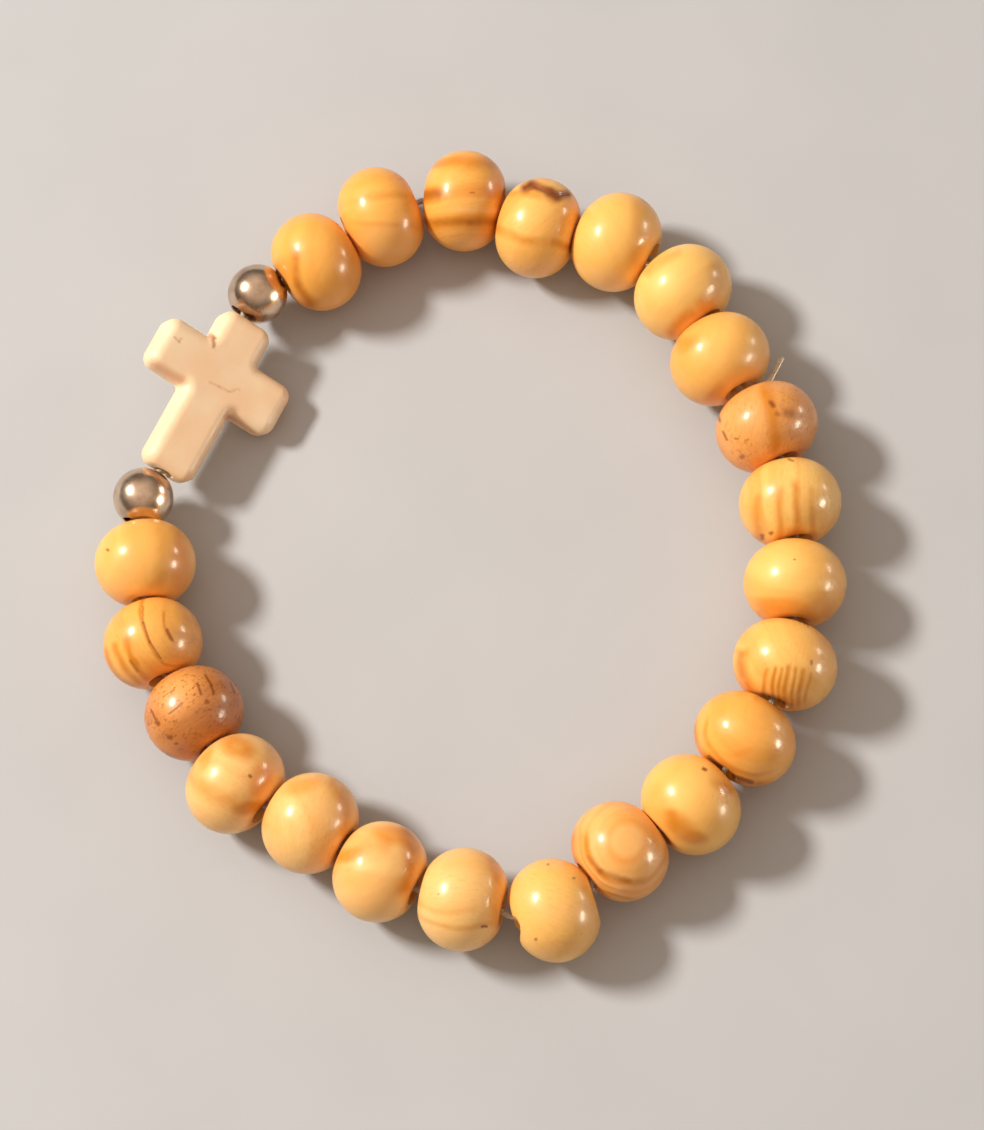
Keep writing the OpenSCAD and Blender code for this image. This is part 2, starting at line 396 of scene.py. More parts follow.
MILKY = (0.72, 0.62, 0.47, 1)
CLOUDY = (0.60, 0.50, 0.36, 1)
elastic, elastic_shader, elastic_place = finish(
    "clear_elastic", transmission_weight=0.25, coat_weight=0.3, coat_roughness=0.15
)
feed(
    elastic_shader,
    base_color=elastic_place.noise(900.0, detail=3.0).step(0.35, 0.7).between(MILKY, CLOUDY),
    roughness=elastic_place.noise(1500.0) * 0.3 + 0.15,
    height=elastic_place.noise(2500.0) * 0.006 * MM,
)
route = [point for node in STRING for point in (*bored(node), gap_after(node))]
cord_path = smooth_loop(route, CORD_STEPS, CORD_ROUNDNESS)
cord_side = np.cross(np.roll(cord_path, -1, 0) - np.roll(cord_path, 1, 0), UP)
cord_grid = tube(cord_path, CORD_R, CORD_SIDES, cord_side, closed=True)
piece("elastic_cord_loop", cord_grid, elastic, ["elastic_cord"])

# The knot. The cord's ends are tied in a small hard knot that sits in the countersinks of two beads, and one
# cut end sticks out between them and bends back along the outside. The knot's turns are a closed trefoil laid
# over the cord, which runs straight on inside them.
KNOT_BEADS = "wood_bead_07", "wood_bead_08"
KNOT_R = 0.5 * MM
KNOT_FLAT = 0.75
KNOT_CORD_R = 0.28 * MM
KNOT_STEPS = 90
KNOT_SIDES = 10
TAIL_OUT = 2.4 * MM
TAIL_BEND_R = 1.2 * MM
TAIL_BEND = acos(0.8)
TAIL_END = 2.2 * MM
TAIL_STEPS = 40
CUT_SLANT = 0.35

knot_at = gap_after(KNOT_BEADS[0])
knot_along = unit(along[KNOT_BEADS[0]] + along[KNOT_BEADS[1]])
knot_out = side_of(knot_along)


def trefoil(steps):
    """The trefoil knot (sin t + 2 sin 2t, cos t - 2 cos 2t, -sin 3t) / 3, flattened along the string."""
    t = np.linspace(0, 2 * pi, steps, endpoint=False)[:, None]
    across = (np.sin(t) + 2 * np.sin(2 * t)) / 3
    rise = (np.cos(t) - 2 * np.cos(2 * t)) / 3
    deep = -np.sin(3 * t) / 3
    return knot_at + KNOT_R * (across * knot_out + rise * UP + KNOT_FLAT * deep * knot_along)


knot_path = trefoil(KNOT_STEPS)
knot_side = np.roll(knot_path, -2, 0) + np.roll(knot_path, 2, 0) - 2 * knot_path
knot_grid = tube(knot_path, KNOT_CORD_R, KNOT_SIDES, knot_side, closed=True)
piece("cord_knot_turns", knot_grid, elastic, ["cord_knot"])


def tail_path():
    """Straight out, round the bend and straight on: the direction turns from outwards to the bend's angle at
    an even rate over the bend, and the path is the running sum of small steps along it."""
    bend = TAIL_BEND * TAIL_BEND_R
    s = np.linspace(0, TAIL_OUT + bend + TAIL_END, TAIL_STEPS)
    turn = TAIL_BEND * np.clip((s - TAIL_OUT) / bend, 0, 1)
    steps = np.diff(s, prepend=0)[:, None] * (
        np.cos(turn)[:, None] * knot_out - np.sin(turn)[:, None] * knot_along
    )
    return knot_at + np.cumsum(steps, 0)


tail = tail_path()
tail_tube = tube(tail, CORD_R, CORD_SIDES, np.broadcast_to(UP, tail.shape), closed=False)
slant = (tail_tube[-1] - tail[-1]) @ UP * CUT_SLANT
tail_tube[-1] += slant[:, None] * unit(tail[-1] - tail[-2])
caps = [np.broadcast_to(ring.mean(0), ring.shape)[None] for ring in (tail_tube[0], tail_tube[-1])]
piece("cord_tail", np.concatenate([caps[0], tail_tube, caps[1]]), elastic, loop=False)

# The wooden beads. Each is a barrel turned from olive-like wood, drilled and countersunk at both ends, and
# dipped in a clear gloss varnish, so that growth rings, pores and stains show through a smooth skin.
FACE_R = 1.9 * MM
RIM_R = 1.6 * MM
BORE_R = 1.1 * MM
SINK_R = 1.6 * MM
SINK_DEEP = 0.6 * MM
BORE_STEPS = 8
SINK_STEPS = 4
RIM_STEPS = 10
BARREL_STEPS = 40
AROUND = 112
# How far a bead's skin lies inside its solid, and how much further at the most where it is uneven, as shares
# of the distance from the axis. In radians of its wave, how much the unevenness twists from a bead's middle
# to its ends, and how far one bead's is set apart from the next one's.
SKIN_INSIDE = 0.004
UNEVEN = 0.006
UNEVEN_TWIST = 1.5
UNEVEN_PHASE = 2.4


def arc(middle_x, middle_y, radius, start, end, steps):
    """Points of an arc, as (x, y) rows, without its end."""
    a = np.linspace(start, end, steps, endpoint=False)
    return np.stack([middle_x + radius * np.cos(a), middle_y + radius * np.sin(a)], 1)


def bead_section(radius, half):
    """A bead's section as (distance from the axis, place along it): bore, countersink, flat end face, rounded
    rim of radius RIM_R, and the barrel's arc, which meets both rims smoothly."""
    side, rim_y = radius - FACE_R, half - RIM_R
    barrel_r = (side**2 + rim_y**2 - RIM_R**2) / (2 * (side - RIM_R))
    barrel_x = radius - barrel_r
    flare = atan2(rim_y, FACE_R - barrel_x)
    shoulder = half - SINK_DEEP
    bore = np.stack([np.full(BORE_STEPS, BORE_R), np.linspace(-shoulder, shoulder, BORE_STEPS)], 1)
    sink = np.linspace([BORE_R, shoulder], [SINK_R, half], SINK_STEPS)[1:]
    upper_rim = arc(FACE_R, rim_y, RIM_R, pi / 2, flare, RIM_STEPS)
    barrel = arc(barrel_x, 0, barrel_r, flare, -flare, BARREL_STEPS)
    lower = [part[::-1] * [1, -1] for part in (upper_rim, sink)]
    return np.concatenate([bore, sink, upper_rim, barrel, *lower])


def turned_on(axis_at, axis, section, around):
    """Surface of revolution: at turn a, a point of the section lies at
    axis_at + place * axis + distance * (cos a * side + sin a * top)."""
    side = side_of(axis)
    a = np.linspace(0, 2 * pi, around, endpoint=False)[None, :, None]
    ring = np.cos(a) * side + np.sin(a) * UP
    return axis_at + section[:, 1, None, None] * axis + section[:, 0, None, None] * ring


def seen_axes(node):
    """Right, up and forward as they are seen at a piece from the viewer's place."""
    return np.array(facing(unit(EYE - middle[node])))


# Wood tones, as linear colours
HONEY = (0.96, 0.59, 0.165, 1)
PALE = (0.96, 0.53, 0.130, 1)
AMBER = (0.95, 0.455, 0.088, 1)
ORANGE = (0.86, 0.30, 0.035, 1)
PEACH = (0.95, 0.50, 0.155, 1)
ROSY = (0.96, 0.58, 0.200, 1)
TAN = (0.64, 0.25, 0.055, 1)
BROWN = (0.34, 0.10, 0.018, 1)
BURNT = (0.66, 0.22, 0.012, 1)
CLAY = (0.88, 0.39, 0.105, 1)
RUDDY = (0.66, 0.25, 0.060, 1)
FLECK = (0.36, 0.110, 0.012, 1)
DARK = (0.25, 0.055, 0.003, 1)

# Columns: the bead's main tone, the tone of its clouds and rings, where the middle of its growth rings lies
# (x to the right and y up, in bead radii from the bead's middle as seen), how many rings a radius holds, how
# strong they are, which way its fibres run, in degrees from x, and how much it is flecked with pores
GRAIN = {
    "wood_bead_01": (AMBER, ORANGE, (1.6, 0.3), 2.0, 0.35, 70, 0.0),
    "wood_bead_02": (AMBER, ORANGE, (0.4, -2.5), 2.0, 0.30, 20, 0.0),
    "wood_bead_03": (AMBER, ORANGE, (0.2, -4.0), 3.0, 0.65, 10, 0.1),
    "wood_bead_04": (PALE, ORANGE, (2.0, -2.0), 2.0, 0.30, 40, 0.1),
    "wood_bead_05": (PALE, AMBER, (-2.0, -1.0), 1.5, 0.40, -60, 0.0),
    "wood_bead_06": (HONEY, ORANGE, (1.5, -1.6), 1.5, 0.22, 45, 0.0),
    "wood_bead_07": (PALE, ORANGE, (-2.0, 1.0), 1.5, 0.30, -60, 0.0),
    "wood_bead_08": (CLAY, TAN, (3.0, 0.3), 2.5, 0.35, 80, 0.35),
    "wood_bead_09": (HONEY, ORANGE, (4.0, 0.2), 2.5, 0.45, 85, 0.1),
    "wood_bead_10": (PALE, ORANGE, (0.5, 2.5), 1.5, 0.30, 10, 0.0),
    "wood_bead_11": (PALE, ORANGE, (2.2, 1.6), 3.0, 0.30, 75, 0.1),
    "wood_bead_12": (AMBER, ORANGE, (0.3, 0.5), 2.5, 0.30, -30, 0.0),
    "wood_bead_13": (PALE, ORANGE, (-1.5, 1.5), 1.5, 0.15, 50, 0.0),
    "wood_bead_14": (PEACH, ORANGE, (0.15, 0.2), 3.0, 0.55, 30, 0.0),
    "wood_bead_15": (PALE, PEACH, (1.0, 2.5), 1.5, 0.60, -20, 0.1),
    "wood_bead_16": (ROSY, ORANGE, (0.0, 2.2), 2.5, 0.15, 0, 0.1),
    "wood_bead_17": (ROSY, ORANGE, (-0.5, -2.5), 1.5, 0.30, 15, 0.0),
    "wood_bead_18": (ROSY, ORANGE, (-2.0, -0.5), 1.5, 0.35, 80, 0.1),
    "wood_bead_19": (ROSY, ORANGE, (-1.5, -2.0), 1.5, 0.40, -30, 0.1),
    "wood_bead_20": (RUDDY, BROWN, (1.5, -3.0), 2.5, 0.30, 35, 1.0),
    "wood_bead_21": (AMBER, TAN, (0.8, 0.7), 3.5, 0.30, -50, 0.15),
    "wood_bead_22": (PALE, ORANGE, (-2.2, 0.5), 1.5, 0.30, 80, 0.0),
}

# Columns: bead, a band's start, a point on its way and its end (x, y in bead radii as seen), how far it
# spreads to each side and how dark it is
BANDS = [
    (1, (-0.42, 0.10), (-0.38, -0.35), (-0.05, -0.88), 0.2, 0.92),
    # Painted shade: darker along the right side, which turns away from the key light
    (1, (0.60, 0.60), (0.68, 0.15), (0.60, -0.45), 0.18, 0.36),
    (2, (-0.30, 0.36), (0.05, 0.42), (0.56, 0.42), 0.14, 0.46),
    (2, (-0.60, -0.12), (0.05, -0.14), (0.70, -0.18), 0.11, 0.32),
    (3, (-0.92, 0.10), (-0.72, 0.15), (-0.42, 0.16), 0.24, 0.97),
    (3, (-0.50, 0.18), (0.10, 0.19), (0.80, 0.15), 0.14, 0.41),
    (3, (-0.85, -0.43), (0.00, -0.40), (0.75, -0.42), 0.22, 0.97),
    (3, (-0.60, 0.76), (0.00, 0.70), (0.55, 0.74), 0.18, 0.63),
    (4, (-0.92, 0.04), (-0.50, -0.18), (0.20, -0.28), 0.17, 0.70),
    (4, (0.30, -0.30), (0.55, -0.36), (0.85, -0.38), 0.14, 0.82),
    (4, (-0.60, 0.66), (-0.10, 0.62), (0.30, 0.52), 0.14, 0.55),
    # Painted shade: darker towards the right side, which turns away from the key light
    (5, (0.45, 0.70), (0.42, 0.20), (0.30, -0.55), 0.23, 0.41),
    (6, (-0.66, 0.40), (-0.40, 0.62), (0.00, 0.80), 0.18, 0.46),
    # Painted shade: darker along the right and lower right, which turn away from the key light
    (6, (0.58, 0.40), (0.62, -0.05), (0.24, -0.45), 0.18, 0.50),
    (6, (0.20, -0.40), (-0.05, -0.60), (-0.28, -0.85), 0.21, 0.63),
    (7, (-0.90, 0.40), (-0.66, 0.34), (-0.40, 0.40), 0.21, 0.41),
    (8, (-0.03, 0.75), (0.12, 0.20), (0.14, -0.45), 0.21, 0.97),
    (9, (-0.62, 0.10), (-0.64, -0.30), (-0.56, -0.80), 0.14, 0.63),
    (9, (-0.20, 0.20), (-0.22, -0.25), (-0.16, -0.85), 0.13, 0.73),
    (9, (0.10, 0.25), (0.12, -0.20), (0.08, -0.85), 0.13, 0.77),
    (9, (0.40, 0.20), (0.43, -0.25), (0.34, -0.80), 0.11, 0.55),
    (10, (-0.75, -0.48), (0.00, -0.62), (0.75, -0.52), 0.3, 0.58),
    (11, (-0.80, 0.32), (-0.78, -0.15), (-0.64, -0.58), 0.22, 0.95),
    (11, (-0.32, -0.10), (-0.38, -0.35), (-0.44, -0.62), 0.07, 0.85),
    (11, (-0.16, -0.08), (-0.21, -0.38), (-0.27, -0.72), 0.07, 0.97),
    (11, (-0.04, -0.10), (-0.09, -0.40), (-0.15, -0.74), 0.061, 0.93),
    (11, (0.08, -0.06), (0.02, -0.40), (-0.05, -0.78), 0.081, 0.97),
    (11, (0.21, -0.10), (0.16, -0.42), (0.09, -0.78), 0.061, 0.93),
    (11, (0.34, -0.10), (0.29, -0.42), (0.22, -0.76), 0.081, 0.97),
    (11, (0.48, -0.16), (0.42, -0.45), (0.34, -0.74), 0.061, 0.77),
    (12, (-0.94, 0.40), (-0.56, -0.50), (0.49, -0.84), 0.10, 0.97),
    (12, (-0.70, 0.10), (-0.42, -0.42), (0.45, -0.64), 0.069, 0.63),
    # Painted shade: darker along the upper right edge, which turns away from the key light
    (12, (0.20, 0.80), (0.52, 0.66), (0.75, 0.45), 0.16, 0.63),
    (13, (-0.40, -0.20), (-0.22, -0.46), (0.15, -0.60), 0.17, 0.82),
    (14, (-0.88, 0.42), (-0.62, -0.50), (0.10, -0.90), 0.057, 0.92),
    (14, (-0.76, 0.40), (-0.55, -0.35), (0.05, -0.74), 0.046, 0.55),
    (14, (-0.62, 0.05), (-0.30, -0.40), (0.50, -0.54), 0.11, 0.93),
    (14, (0.45, -0.60), (0.76, -0.35), (0.86, 0.10), 0.069, 0.46),
    (16, (-0.80, -0.30), (-0.10, -0.52), (0.44, -0.50), 0.1, 0.41),
    (16, (-0.85, -0.05), (-0.40, -0.18), (0.20, -0.20), 0.1, 0.27),
    # Painted shade: darker along the right side, which turns away from the key light
    (16, (0.55, 0.72), (0.66, 0.20), (0.56, -0.45), 0.18, 0.51),
    (17, (-0.90, 0.18), (-0.45, 0.38), (0.20, 0.50), 0.34, 0.50),
    # Painted shade: darker along the right side, which turns away from the key light
    (17, (0.45, 0.75), (0.60, 0.20), (0.46, -0.45), 0.25, 0.92),
    # Painted shade: darker along the right side, which turns away from the key light
    (18, (0.45, 0.75), (0.66, 0.35), (0.62, -0.25), 0.18, 0.63),
    (19, (-0.86, 0.26), (-0.55, -0.12), (0.05, -0.28), 0.24, 0.50),
    (20, (-0.80, -0.50), (-0.45, -0.75), (0.05, -0.90), 0.11, 0.93),
    (21, (-0.19, 0.85), (-0.24, 0.40), (0.16, -0.30), 0.063, 0.97),
    (21, (0.16, -0.30), (0.42, -0.44), (0.70, -0.40), 0.052, 0.82),
    (21, (0.22, 0.60), (0.23, 0.34), (0.36, 0.09), 0.057, 0.97),
    (21, (0.36, 0.09), (0.55, 0.00), (0.75, 0.05), 0.04, 0.55),
    (21, (-0.88, -0.20), (-0.68, -0.58), (-0.25, -0.88), 0.09, 0.93),
    (21, (-0.72, -0.02), (-0.52, -0.48), (-0.12, -0.80), 0.09, 0.92),
    (21, (-0.55, 0.10), (-0.40, -0.36), (-0.02, -0.70), 0.10, 0.97),
    # Painted shade: the right half darker, as it turns away from the key light
    (22, (0.22, 0.75), (0.30, 0.20), (0.10, -0.60), 0.25, 0.36),
]

# Columns: bead, where a dash or speck begins and ends (x, y in bead radii as seen), how far it spreads to
# each side and how dark it is
DASHES = [
    (1, (-0.40, 0.05), (-0.34, -0.45), 0.13, 0.22),
    (1, (-0.34, -0.45), (-0.12, -0.80), 0.13, 0.22),
    (3, (-0.90, 0.11), (-0.52, 0.15), 0.15, 0.55),
    (3, (-0.82, -0.40), (0.10, -0.41), 0.12, 0.30),
    (3, (0.10, -0.41), (0.75, -0.40), 0.10, 0.25),
    (3, (0.12, 0.16), (0.18, 0.16), 0.044, 0.56),
    (4, (-0.25, 0.79), (-0.12, 0.86), 0.18, 0.97),
    (4, (-0.12, 0.84), (0.25, 0.71), 0.15, 0.97),
    (4, (0.25, 0.68), (0.38, 0.61), 0.18, 0.97),
    (4, (0.38, 0.64), (0.58, 0.66), 0.15, 0.97),
    (8, (0.09, 0.46), (0.13, 0.40), 0.081, 0.91),
    (8, (0.19, 0.25), (0.22, 0.23), 0.075, 0.56),
    (8, (0.38, 0.26), (0.46, 0.24), 0.16, 0.62),
    (8, (-0.92, 0.26), (-0.88, 0.14), 0.05, 0.91),
    (8, (-0.83, -0.06), (-0.76, -0.22), 0.044, 0.79),
    (8, (-0.60, -0.20), (-0.56, -0.20), 0.044, 0.68),
    (8, (-0.40, -0.23), (-0.36, -0.22), 0.037, 0.56),
    (8, (-0.50, -0.56), (-0.46, -0.54), 0.062, 0.68),
    (9, (-0.56, -0.66), (-0.55, -0.62), 0.075, 0.85),
    (9, (-0.39, -0.57), (-0.37, -0.56), 0.062, 0.85),
    (9, (0.00, 0.84), (0.08, 0.80), 0.044, 0.68),
    (10, (0.00, 0.46), (0.01, 0.46), 0.037, 0.79),
    (11, (0.26, 0.88), (0.32, 0.80), 0.05, 0.85),
    (11, (0.34, 0.84), (0.39, 0.76), 0.044, 0.85),
    (11, (0.42, 0.80), (0.45, 0.72), 0.037, 0.79),
    (11, (0.49, 0.05), (0.49, 0.00), 0.044, 0.74),
    (12, (-0.68, -0.32), (-0.36, -0.66), 0.07, 0.85),
    (12, (-0.36, -0.66), (0.10, -0.82), 0.07, 0.85),
    (13, (0.25, 0.67), (0.29, 0.65), 0.062, 0.97),
    (14, (-0.60, -0.10), (-0.36, -0.37), 0.09, 0.40),
    (14, (-0.36, -0.37), (0.16, -0.56), 0.10, 0.42),
    (15, (-0.12, 0.87), (-0.10, 0.87), 0.044, 0.68),
    (15, (0.37, 0.60), (0.39, 0.60), 0.044, 0.68),
    (15, (-0.35, -0.54), (-0.34, -0.54), 0.05, 0.79),
    (16, (-0.47, 0.10), (-0.46, 0.10), 0.037, 0.68),
    (16, (0.36, -0.51), (0.44, -0.50), 0.044, 0.91),
    (19, (0.26, 0.15), (0.28, 0.13), 0.056, 0.91),
    (20, (0.05, 0.58), (0.13, 0.37), 0.050, 0.90),
    (20, (0.20, 0.75), (0.32, 0.56), 0.042, 0.95),
    (20, (0.32, 0.56), (0.37, 0.38), 0.046, 0.95),
    (20, (0.70, 0.62), (0.78, 0.42), 0.044, 0.91),
    (20, (-0.84, 0.05), (-0.71, -0.20), 0.036, 0.95),
    (20, (-0.71, -0.21), (-0.69, -0.22), 0.075, 0.97),
    (20, (-0.48, -0.02), (-0.24, 0.20), 0.037, 0.79),
    (20, (-0.47, -0.48), (-0.43, -0.48), 0.081, 0.97),
    (20, (-0.34, -0.60), (-0.32, -0.60), 0.056, 0.91),
    (20, (0.23, 0.25), (0.26, 0.22), 0.075, 0.91),
    (20, (0.58, 0.28), (0.60, 0.27), 0.075, 0.97),
    (21, (-0.22, 0.72), (-0.20, 0.40), 0.036, 0.55),
    (21, (-0.20, 0.40), (-0.06, 0.03), 0.044, 0.75),
    (21, (-0.06, 0.03), (0.16, -0.28), 0.040, 0.65),
    (21, (0.27, 0.28), (0.37, 0.09), 0.060, 0.80),
    (21, (-0.42, -0.36), (-0.28, -0.55), 0.060, 0.50),
    (22, (-0.75, 0.25), (-0.73, 0.23), 0.05, 0.85),
]

# Columns: bead, a soft patch's middle (x, y in bead radii as seen), its half length and half width, its turn
# in degrees, its tone and how strong it is
PATCHES = [
    (1, (-0.70, -0.25), 0.40, 0.22, 80, ORANGE, 0.7),
    (2, (0.10, -0.45), 0.70, 0.40, 0, PEACH, 0.6),
    (3, (0.62, -0.55), 0.45, 0.22, 20, ORANGE, 0.8),
    (3, (-0.72, 0.12), 0.32, 0.13, 4, BROWN, 0.65),
    # Painted shade: darker strip along the right side, which turns away from the key light
    (3, (0.74, 0.05), 0.20, 0.60, 0, BURNT, 0.7),
    (3, (0.20, -0.18), 0.65, 0.09, 0, PEACH, 0.6),
    (4, (0.05, -0.80), 0.60, 0.20, 5, PEACH, 0.8),
    (5, (-0.10, -0.70), 0.50, 0.22, -15, PEACH, 0.7),
    (6, (-0.35, 0.10), 0.45, 0.35, 40, HONEY, 0.8),
    (6, (0.45, -0.28), 0.26, 0.16, -40, ORANGE, 0.5),
    (7, (-0.10, -0.68), 0.28, 0.16, 60, TAN, 0.5),
    (7, (-0.68, 0.30), 0.26, 0.16, 45, ORANGE, 0.6),
    (8, (0.55, 0.30), 0.30, 0.30, 0, TAN, 0.4),
    (9, (0.10, -0.62), 0.24, 0.16, 0, BURNT, 0.65),
    (9, (0.05, -0.85), 0.70, 0.16, 0, ORANGE, 0.7),
    (10, (-0.30, 0.35), 0.55, 0.35, 20, HONEY, 0.7),
    (10, (-0.30, -0.38), 0.60, 0.18, -8, ORANGE, 0.8),
    (12, (-0.10, -0.25), 0.26, 0.09, 15, ORANGE, 0.5),
    (13, (-0.22, -0.42), 0.52, 0.26, -35, BURNT, 0.70),
    (13, (-0.62, 0.05), 0.28, 0.40, 0, ORANGE, 0.3),
    (13, (0.05, -0.62), 0.30, 0.14, -10, BURNT, 0.70),
    (13, (0.62, 0.32), 0.30, 0.13, -35, BURNT, 0.65),
    # Painted shade: darker along the bottom, which turns away from the key light
    (15, (0.00, -0.72), 0.60, 0.20, 0, TAN, 0.25),
    (17, (-0.60, 0.30), 0.36, 0.14, 15, ORANGE, 0.8),
    (17, (0.20, 0.70), 0.45, 0.20, -10, ORANGE, 0.8),
    (17, (-0.20, -0.50), 0.60, 0.35, 0, PEACH, 0.8),
    (18, (-0.15, 0.72), 0.50, 0.20, 20, ORANGE, 0.6),
    (19, (0.05, 0.66), 0.38, 0.26, -10, BURNT, 0.81),
    (19, (0.45, 0.10), 0.26, 0.40, -10, ORANGE, 0.9),
    (19, (0.32, -0.42), 0.40, 0.15, 0, BURNT, 0.95),
    (19, (-0.55, 0.45), 0.30, 0.10, 60, ORANGE, 0.7),
    (20, (-0.35, 0.40), 0.60, 0.45, 35, CLAY, 0.7),
    (20, (0.10, -0.35), 0.95, 0.50, 20, BROWN, 0.30),
    # Painted shade: darker strip along the right side, which turns away from the key light
    (20, (0.70, 0.00), 0.28, 0.60, 0, BROWN, 0.2),
    (21, (-0.36, -0.36), 0.16, 0.08, -45, BURNT, 0.91),
    (21, (0.05, -0.45), 0.40, 0.16, -25, ORANGE, 0.5),
    # Painted shade: darker strip along the right side, which turns away from the key light
    (22, (0.70, 0.00), 0.25, 0.60, 0, ORANGE, 0.7),
    (22, (-0.50, -0.25), 0.40, 0.50, 0, PEACH, 0.5),
]

# Columns: bead, the middle of a spot where its varnish is scuffed (x, y in bead radii as seen), its radius
SCUFFS = [
    (4, (0.59, 0.40), 0.20),
    (5, (0.55, 0.00), 0.22),
    (6, (0.50, -0.10), 0.30),
    (8, (0.68, 0.10), 0.35),
    (9, (0.68, 0.05), 0.38),
    (10, (0.68, 0.00), 0.35),
    (11, (0.68, 0.00), 0.35),
    (12, (0.68, 0.00), 0.38),
    (13, (0.66, 0.15), 0.35),
    (14, (0.62, 0.05), 0.32),
    (16, (0.60, 0.00), 0.35),
    (17, (0.38, -0.60), 0.15),
    (18, (0.52, -0.08), 0.32),
    (19, (0.62, 0.30), 0.18),
    (20, (0.53, -0.07), 0.22),
]


# A band fades on both sides of each end over this share of its arc's rise, and a patch fades between these
# shares of its half sizes
BAND_END_FADE = 0.35
PATCH_CORE = 0.35
PATCH_EDGE = 1.25


def circle_through(a, b, c):
    """The middle and the radius of the circle through three points, from its middle's equal distance to
    each of them."""
    a, b, c = map(np.array, (a, b, c))
    middle_point = np.linalg.solve(2 * np.array([b - a, c - a]), [b @ b - a @ a, c @ c - a @ a])
    return middle_point, np.linalg.norm(a - middle_point)


def band_mask(x, y, start, over, end, spread):
    """1 on an arc from start over a point to its end, fading to 0 at its spread to each side and about its
    ends."""
    (cx, cy), radius = circle_through(start, over, end)
    off_x, off_y = x - cx, y - cy
    away = (off_x * off_x + off_y * off_y) ** 0.5
    looks = unit(np.array(over) - (cx, cy))
    reach = min(unit(np.array(p) - (cx, cy)) @ looks for p in (start, end))
    turn = (off_x * looks[0] + off_y * looks[1]) / away
    fade = BAND_END_FADE * (1 - reach)
    return abs(away - radius).step(spread, 0.0) * turn.step(reach - fade, reach + fade)


def dash_mask(x, y, start, end, spread):
    """1 on a straight stroke, fading to 0 at its spread from the nearest point between its ends."""
    step = np.subtract(end, start)
    long = hypot(*step)
    dx, dy = step / long
    off_x, off_y = x - start[0], y - start[1]
    on = (off_x * dx + off_y * dy).within(0.0, long)
    near_x, near_y = off_x - on * dx, off_y - on * dy
    return ((near_x * near_x + near_y * near_y) ** 0.5).step(spread, 0.0)


def patch_mask(x, y, at, long, wide, turn):
    """1 in the middle of a turned ellipse, fading to 0 a little outside it."""
    c, s = cos(radians(turn)), sin(radians(turn))
    off_x, off_y = x - at[0], y - at[1]
    on, across = (off_x * c + off_y * s) / long, (off_y * c - off_x * s) / wide
    return ((on * on + across * across) ** 0.5).step(PATCH_EDGE, PATCH_CORE)


# How many waves of each noise a bead's radius holds, and how many times longer or deeper than wide it is
WANDERING = 1.1
FIBRES = 22.0
FIBRE_LONG = 6
FIBRE_DEEP = 3
CLOUDS = 0.9
WEAR = 3.0
FLECKS = 17.0
FLECK_LONG = 2
RAGGED_EDGES = 9.0
SCUFF_GRAIN = 11.0
UNDULATION = 5.0
# Over what width rings, bands and patches wander, and dashes and scuffs do; how far above the bead's middle
# patches, dashes and scuffs are whole, all in bead radii; what sets one bead's rings apart from the next's
WANDER = 0.22
RAGGED = 0.05
TOP_FADE = 0.3
RING_SHIFT = 7.3
# How strong the clouds and the fibres are, and how much more the fibres of a flecked bead; how strong patches
# and bands are everywhere, and how much more with the wear
CLOUD_SHARE = 0.6
FIBRE_SHARE = 0.07
FLECKED_SHARE = 0.35
PATCH_ALWAYS, PATCH_WORN = 0.6, 0.8
BAND_ALWAYS, BAND_WORN = 0.6, 0.4
# The varnish: how rough it is everywhere and how much more with the wear, its coat everywhere and how much
# more without wear, and the height of its relief in mm
ROUGH_ALWAYS, ROUGH_WORN = 0.25, 0.3
COAT_ALWAYS, COAT_FRESH = 0.15, 0.25
FIBRE_RELIEF = 0.003
SOFT_RELIEF = 0.03
SCUFF_RELIEF = 0.08


